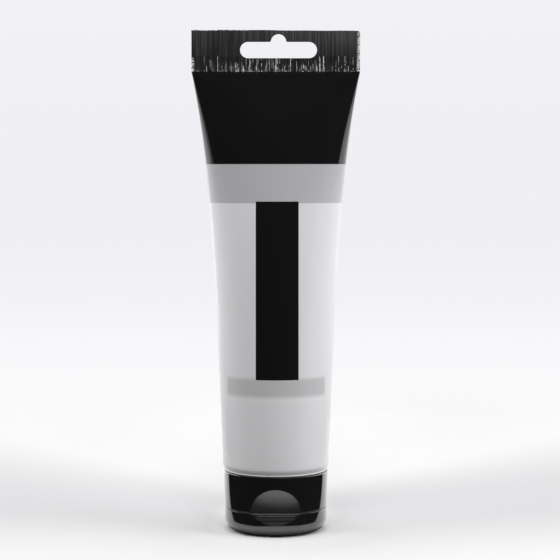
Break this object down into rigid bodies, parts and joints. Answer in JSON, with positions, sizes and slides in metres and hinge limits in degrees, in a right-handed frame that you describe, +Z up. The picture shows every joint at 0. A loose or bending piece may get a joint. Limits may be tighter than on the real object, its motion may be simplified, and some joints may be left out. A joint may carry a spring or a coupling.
{
  "type": "paint tube",
  "caption": "Squeeze tube for artists' paint: white film sleeve from a round head to a flat welded tail with a hang slot, standing on a black flip-top cap",
  "frame": {"origin": "centre of the bounding box at its foot, on the surface that the lid stands on", "axes": "+Z runs up the tube to its tail, -Y is the front with the thumb recess, +X is to the right of the front"},
  "size_m": [0.055, 0.035, 0.1643],
  "materials": {
    "film": "satin white film",
    "printed_tail": "black printed film, welded and ribbed",
    "head_plastic": "white moulded plastic",
    "foil": "thin peel foil",
    "paint": "thick white paint",
    "cap_plastic": "polished black moulding"
  },
  "bodies": {
    "tube": {"tube_sleeve": "film", "tail_seal": "printed_tail", "tube_shoulder": "head_plastic", "foil_seal": "foil", "paint_fill": "paint"},
    "cap": {"cap_base": "cap_plastic", "hinge_straps": "cap_plastic", "hinge_band": "cap_plastic"},
    "lid": {"flip_lid": "cap_plastic"}
  },
  "joints": [
    {"name": "cap_pull", "type": "slide", "parent": "tube", "child": "cap", "axis": [0, 0, -1], "range_m": [0, 0.012]},
    {"name": "lid_flip", "type": "hinge", "parent": "cap", "child": "lid", "pos_m": [0, 0.0159, 0.00797], "axis": [1, 0, 0], "range_deg": [0, 140], "deforming": ["hinge_straps", "hinge_band"]}
  ]
}
